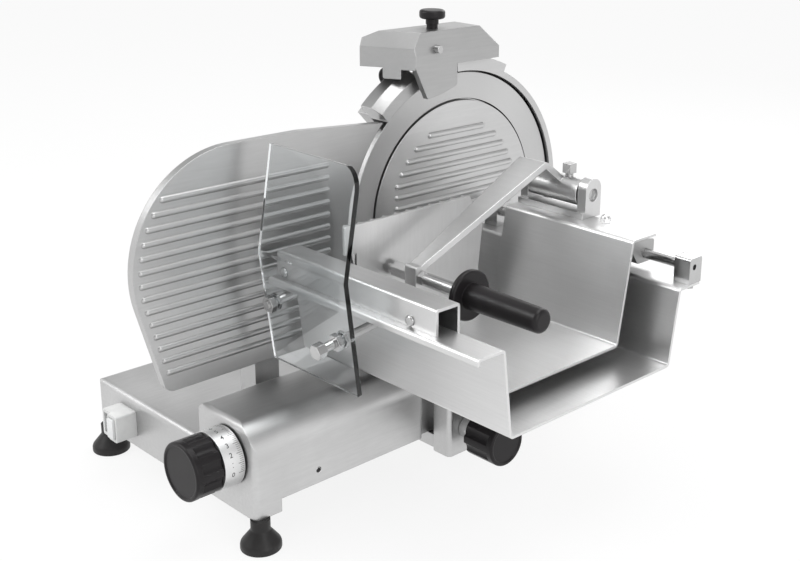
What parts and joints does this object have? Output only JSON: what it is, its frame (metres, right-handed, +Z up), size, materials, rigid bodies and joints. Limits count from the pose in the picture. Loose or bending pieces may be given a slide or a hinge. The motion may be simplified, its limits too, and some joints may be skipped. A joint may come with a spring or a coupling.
{
  "type": "electric meat slicer",
  "caption": "Vertical electric slicer: round blade behind a ribbed thickness plate, tray carriage with press arm and clear guard, sharpener and thickness knob on a cast base.",
  "frame": {"origin": "on the floor, below the middle of the bounding box", "axes": "+Z up; +X along the blade's axis, from the motor to the carriage; -Y to the operator; the carriage travels along Y"},
  "size_m": [0.58, 0.663, 0.549],
  "materials": {
    "cast_aluminium": "satin cast aluminium, finely ground",
    "stainless_sheet": "brushed stainless steel",
    "polished_steel": "polished steel",
    "black_plastic": "smooth black plastic",
    "bearing_plastic": "plain bearing plastic",
    "foot_rubber": "moulded rubber",
    "belt_rubber": "drive belt rubber",
    "light_plastic": "light grey plastic",
    "clear_plastic": "clear polycarbonate sheet",
    "grinding_stone": "fine grinding stone"
  },
  "bodies": {
    "base": {"base_casting": "cast_aluminium", "bottom_cover": "stainless_sheet", "foot_front_left": "foot_rubber", "foot_front_right": "foot_rubber", "foot_rear_left": "foot_rubber", "foot_rear_right": "foot_rubber", "carriage_rail": "polished_steel", "guide_track": "polished_steel", "cable_gland": "black_plastic", "switch_housing": "light_plastic", "blade_housing": "cast_aluminium", "ring_guard_right": "polished_steel", "ring_guard_left": "polished_steel", "blade_cover": "cast_aluminium", "cover_tie_rod": "polished_steel", "blade_bearings": "polished_steel", "drive_belt": "belt_rubber", "belt_cover": "cast_aluminium", "motor_housing": "cast_aluminium", "gauge_guide_bars": "polished_steel", "sharpener_post": "polished_steel"},
    "start": {"start_button": "light_plastic"},
    "stop": {"stop_button": "light_plastic"},
    "blade": {"blade": "polished_steel", "blade_shaft": "polished_steel", "blade_pulley": "polished_steel"},
    "motor": {"motor_pulley": "polished_steel"},
    "gauge": {"gauge_carrier": "cast_aluminium", "gauge_plate": "cast_aluminium"},
    "index": {"index_shaft": "polished_steel", "index_knob": "black_plastic", "index_drum": "stainless_sheet"},
    "sharpener": {"sharpener_cover": "cast_aluminium"},
    "sharpener_press": {"sharpener_knob": "black_plastic", "grinding_stone": "grinding_stone"},
    "hone": {"sharpener_push_pin": "polished_steel"},
    "sharpener_lock": {"sharpener_lock_knob": "black_plastic"},
    "carriage": {"carriage_post": "cast_aluminium", "rail_bushes": "bearing_plastic", "guide_shoe": "bearing_plastic", "outer_tray": "stainless_sheet", "front_channel": "polished_steel", "channel_screws": "polished_steel", "slide_rod": "polished_steel", "rod_end_blocks": "stainless_sheet", "rod_block_bolts": "polished_steel", "guard_sheet": "clear_plastic", "guard_pins": "polished_steel"},
    "clamp": {"clamp_screw": "polished_steel", "clamp_knob": "black_plastic"},
    "feed": {"feed_tray": "stainless_sheet", "feed_bearing": "cast_aluminium", "glide_strip": "bearing_plastic", "hinge_bracket": "polished_steel", "hinge_pin": "polished_steel"},
    "arm": {"press_arm": "polished_steel"},
    "lock_screw": {"lock_screw": "polished_steel"},
    "pusher": {"pusher_plate": "polished_steel", "handle_rod": "polished_steel", "handle_grip": "black_plastic"}
  },
  "joints": [
    {"name": "carriage_slide", "type": "slide", "parent": "base", "child": "carriage", "axis": [0, 1, 0], "range_m": [-0.16, 0.12]},
    {"name": "clamp_turn", "type": "hinge", "parent": "carriage", "child": "clamp", "pos_m": [0.12, 0.0225, 0.066], "axis": [1, 0, 0], "range_deg": [0, 360]},
    {"name": "feed_slide", "type": "slide", "parent": "carriage", "child": "feed", "axis": [1, 0, 0], "range_m": [-0.062, 0.038]},
    {"name": "press_arm_lift", "type": "hinge", "parent": "feed", "child": "arm", "pos_m": [0.097, 0.1735, 0.342], "axis": [-1, 0, 0], "range_deg": [0, 95]},
    {"name": "pusher_level", "type": "hinge", "parent": "arm", "child": "pusher", "pos_m": [0.083, -0.0545, 0.276], "axis": [-1, 0, 0], "range_deg": [-95, 0]},
    {"name": "lock_screw_turn", "type": "hinge", "parent": "arm", "child": "lock_screw", "pos_m": [0.111, 0.1735, 0.36], "axis": [0, 0, 1], "range_deg": [0, 90]},
    {"name": "index_turn", "type": "hinge", "parent": "base", "child": "index", "pos_m": [0.01, -0.2915, 0.101], "axis": [0, -1, 0], "range_deg": [0, 300]},
    {"name": "gauge_slide", "type": "slide", "parent": "base", "child": "gauge", "axis": [1, 0, 0], "range_m": [-0.016, 0]},
    {"name": "blade_spin", "type": "hinge", "parent": "base", "child": "blade", "pos_m": [-0.05, 0.1405, 0.292], "axis": [1, 0, 0], "continuous": true},
    {"name": "motor_spin", "type": "hinge", "parent": "base", "child": "motor", "pos_m": [-0.142, 0.2065, 0.164], "axis": [1, 0, 0], "continuous": true},
    {"name": "sharpener_lift", "type": "slide", "parent": "base", "child": "sharpener", "axis": [0, 0, 1], "range_m": [0, 0.012]},
    {"name": "sharpener_press_down", "type": "slide", "parent": "sharpener", "child": "sharpener_press", "axis": [0, 0, -1], "range_m": [0, 0.005], "stiffness_N_per_m": 400, "springref_m": -0.005},
    {"name": "hone_push", "type": "slide", "parent": "sharpener", "child": "hone", "axis": [-1, 0, 0], "range_m": [0, 0.005], "stiffness_N_per_m": 400, "springref_m": -0.002},
    {"name": "sharpener_lock_turn", "type": "hinge", "parent": "sharpener", "child": "sharpener_lock", "pos_m": [-0.11, 0.0755, 0.462], "axis": [0, -1, 0], "range_deg": [0, 180]},
    {"name": "start_press", "type": "slide", "parent": "base", "child": "start", "axis": [0, 1, 0], "range_m": [0, 0.003], "stiffness_N_per_m": 200},
    {"name": "stop_press", "type": "slide", "parent": "base", "child": "stop", "axis": [0, 1, 0], "range_m": [0, 0.003], "stiffness_N_per_m": 200}
  ],
  "couplings": [
    {"joint": "pusher_level", "follows": "press_arm_lift", "ratio": -1},
    {"joint": "gauge_slide", "follows": "index_turn", "m_per_rad": -0.0030558},
    {"joint": "motor_spin", "follows": "blade_spin", "ratio": 2.7368}
  ]
}
